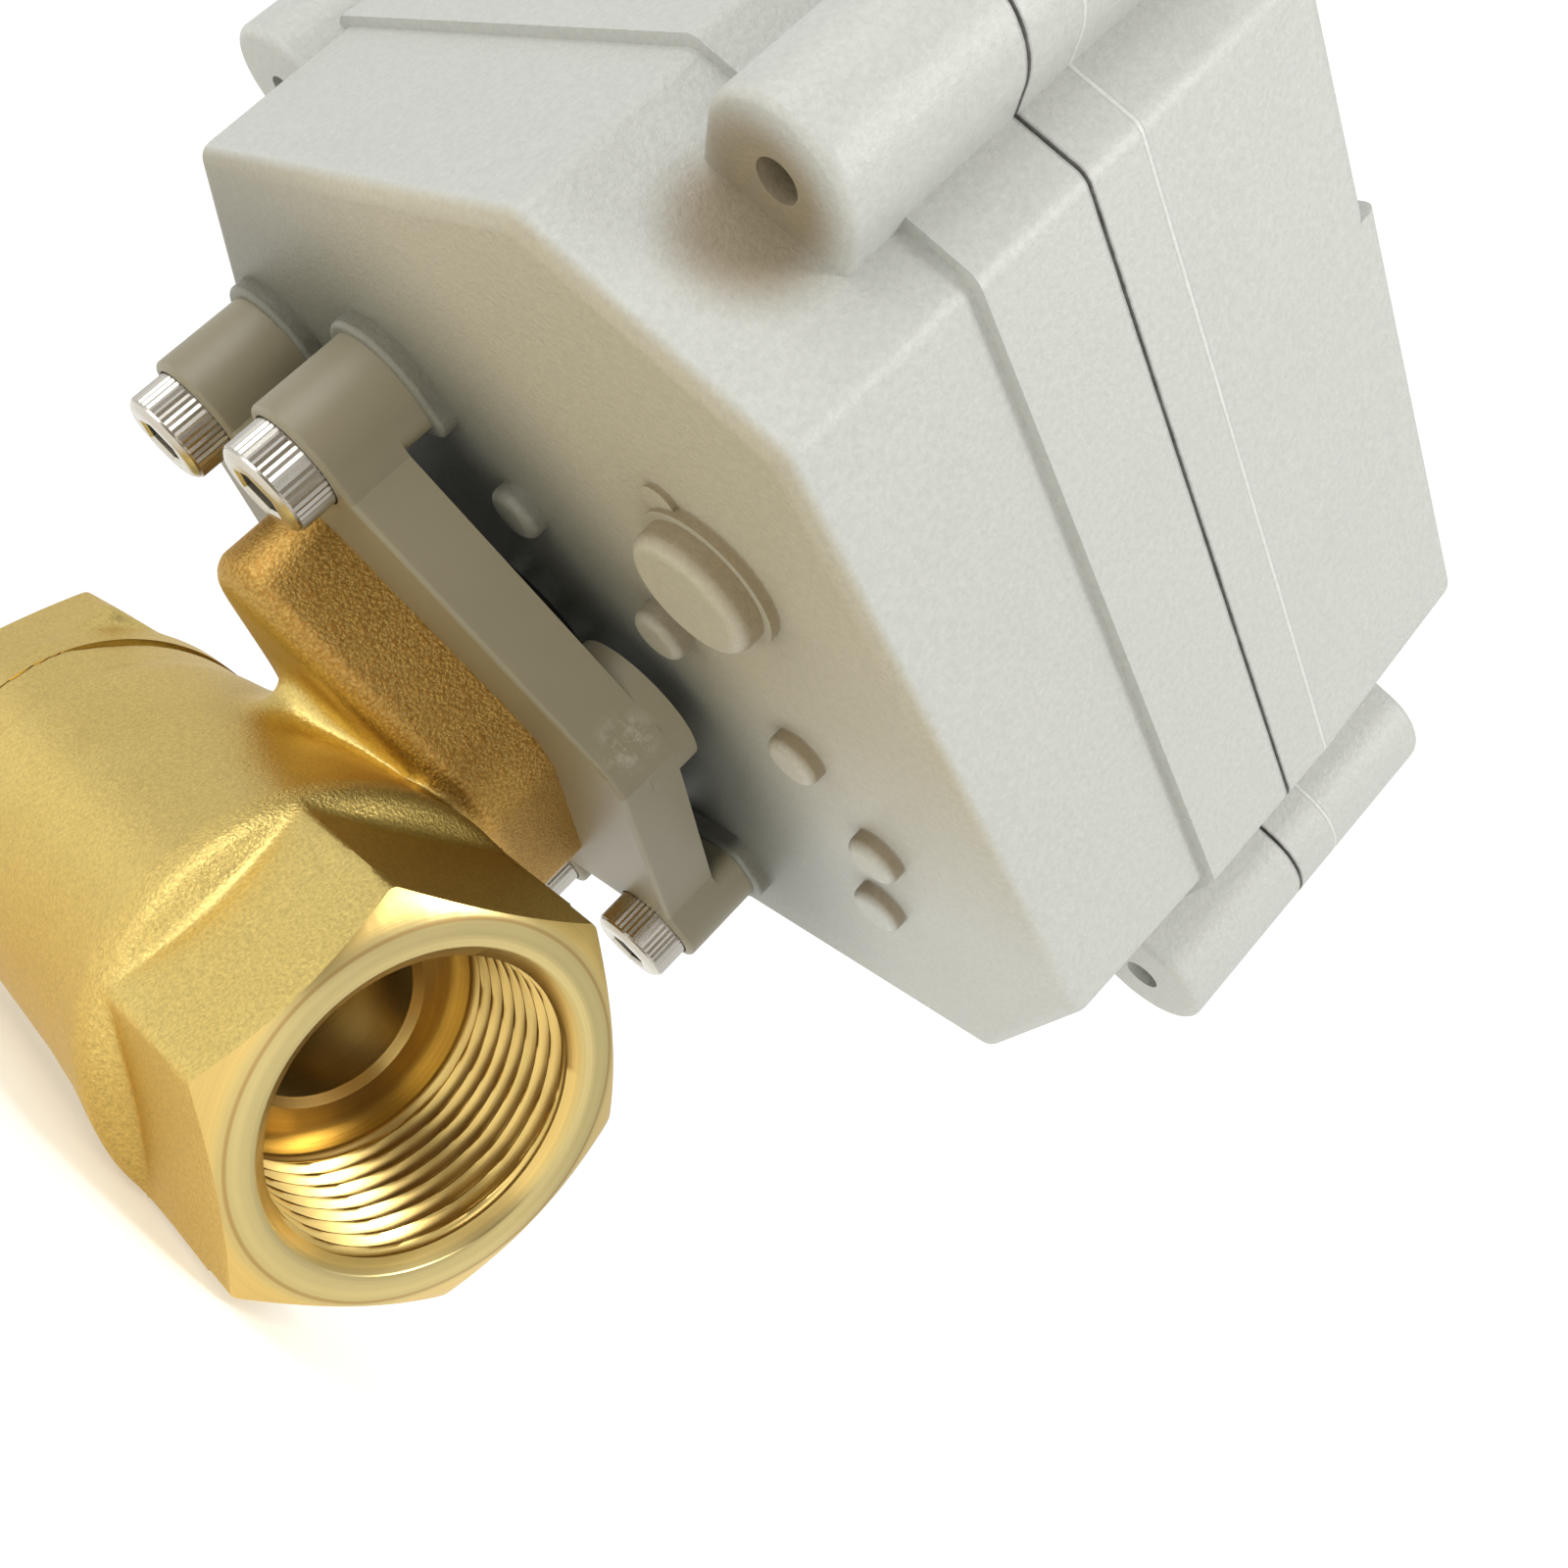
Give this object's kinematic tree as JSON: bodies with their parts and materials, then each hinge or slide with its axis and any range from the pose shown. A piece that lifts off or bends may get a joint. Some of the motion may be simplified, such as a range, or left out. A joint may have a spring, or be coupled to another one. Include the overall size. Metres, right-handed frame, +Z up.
{
  "type": "motorized ball valve",
  "caption": "Brass ball valve with a quarter-turn geared actuator on a plastic bracket, threaded pipe ports and a cable gland.",
  "frame": {"origin": "centre of the ball, where the pipe axis and the stem axis meet", "axes": "+X along the pipe axis out of the near port, +Z up the stem to the actuator"},
  "size_m": [0.1059, 0.0978, 0.1105],
  "materials": {
    "forged_brass": "shot-blasted forging with machined port faces",
    "ptfe": "satin white",
    "plated_ball": "polished plating",
    "turned_brass": "turned",
    "seal_rubber": "matte black",
    "bracket_plastic": "moulded satin olive grey",
    "stainless": "cold headed and knurled",
    "zinc_steel": "zinc plated",
    "housing_plastic": "fine sparked texture, light warm grey",
    "clear_plastic": "polished clear",
    "pointer_plastic": "satin red",
    "steel": "ground",
    "sheet_steel": "stamped zinc plated sheet",
    "sintered_gear": "sintered and oiled",
    "acetal": "moulded natural acetal",
    "cam_plastic": "moulded black",
    "spring_steel": "rolled strip",
    "board_laminate": "solder mask",
    "terminal_plastic": "moulded green",
    "film_can": "shrink sleeve",
    "gland_plastic": "moulded grey polyamide"
  },
  "bodies": {
    "valve_and_case": {"valve_body": "forged_brass", "end_cap": "forged_brass", "end_cap_seal": "ptfe", "seat_ring_near": "ptfe", "seat_ring_far": "ptfe", "stem_thrust_washer": "ptfe", "lower_bushing": "turned_brass", "upper_bushing": "turned_brass", "case_gasket": "seal_rubber", "window_seal": "seal_rubber", "shaft_seal": "seal_rubber", "gland_gasket": "seal_rubber", "gland_seal": "seal_rubber", "mounting_bracket": "bracket_plastic", "bracket_screws": "stainless", "pad_screws": "zinc_steel", "case_screws": "zinc_steel", "gear_plate_screws": "zinc_steel", "motor_screws": "zinc_steel", "switch_screws": "zinc_steel", "board_screws": "zinc_steel", "housing_base": "housing_plastic", "housing_cover": "housing_plastic", "indicator_window": "clear_plastic", "second_gear_axle": "steel", "first_gear_axle": "steel", "gear_plate": "sheet_steel", "motor": "sheet_steel", "closed_switch": "cam_plastic", "open_switch": "cam_plastic", "circuit_board": "board_laminate", "terminal_block": "terminal_plastic", "motor_capacitor": "film_can", "gland_body": "gland_plastic", "gland_locknut": "gland_plastic", "gland_nut": "gland_plastic"},
    "output": {"ball": "plated_ball", "stem": "turned_brass", "stem_o_rings": "seal_rubber", "output_shaft": "steel", "output_gear": "sintered_gear", "lower_cam": "cam_plastic", "upper_cam": "cam_plastic", "indicator_pointer": "pointer_plastic", "shaft_clip": "steel"},
    "second_wheel": {"second_gear": "sintered_gear"},
    "first_wheel": {"first_gear": "acetal"},
    "motor_rotor": {"motor_pinion": "acetal", "motor_shaft": "steel", "motor_armature": "sheet_steel"},
    "closed_lever": {"closed_switch_lever": "spring_steel"},
    "open_lever": {"open_switch_lever": "spring_steel"}
  },
  "joints": [
    {"name": "output_turn", "type": "hinge", "parent": "valve_and_case", "child": "output", "pos_m": [0, 0, 0], "axis": [0, 0, 1], "range_deg": [0, 90]},
    {"name": "second_wheel_turn", "type": "hinge", "parent": "valve_and_case", "child": "second_wheel", "pos_m": [0.01831, -0.01916, 0], "axis": [0, 0, 1], "range_deg": [-307.5, 0]},
    {"name": "first_wheel_turn", "type": "hinge", "parent": "valve_and_case", "child": "first_wheel", "pos_m": [0.03265, -0.01121, 0], "axis": [0, 0, 1], "range_deg": [0, 838.64]},
    {"name": "motor_turn", "type": "hinge", "parent": "valve_and_case", "child": "motor_rotor", "pos_m": [0.04518, -0.021, 0], "axis": [0, 0, 1], "range_deg": [-3202.07, 0]},
    {"name": "closed_lever_press", "type": "hinge", "parent": "valve_and_case", "child": "closed_lever", "pos_m": [0.0086, 0.01355, 0], "axis": [0, 0, -1], "range_deg": [0, 6]},
    {"name": "open_lever_press", "type": "hinge", "parent": "valve_and_case", "child": "open_lever", "pos_m": [0.0086, 0.01355, 0], "axis": [0, 0, -1], "range_deg": [0, 6]}
  ],
  "couplings": [
    {"joint": "second_wheel_turn", "follows": "output_turn", "ratio": -3.4167},
    {"joint": "first_wheel_turn", "follows": "output_turn", "ratio": 9.3182},
    {"joint": "motor_turn", "follows": "output_turn", "ratio": -35.579}
  ]
}
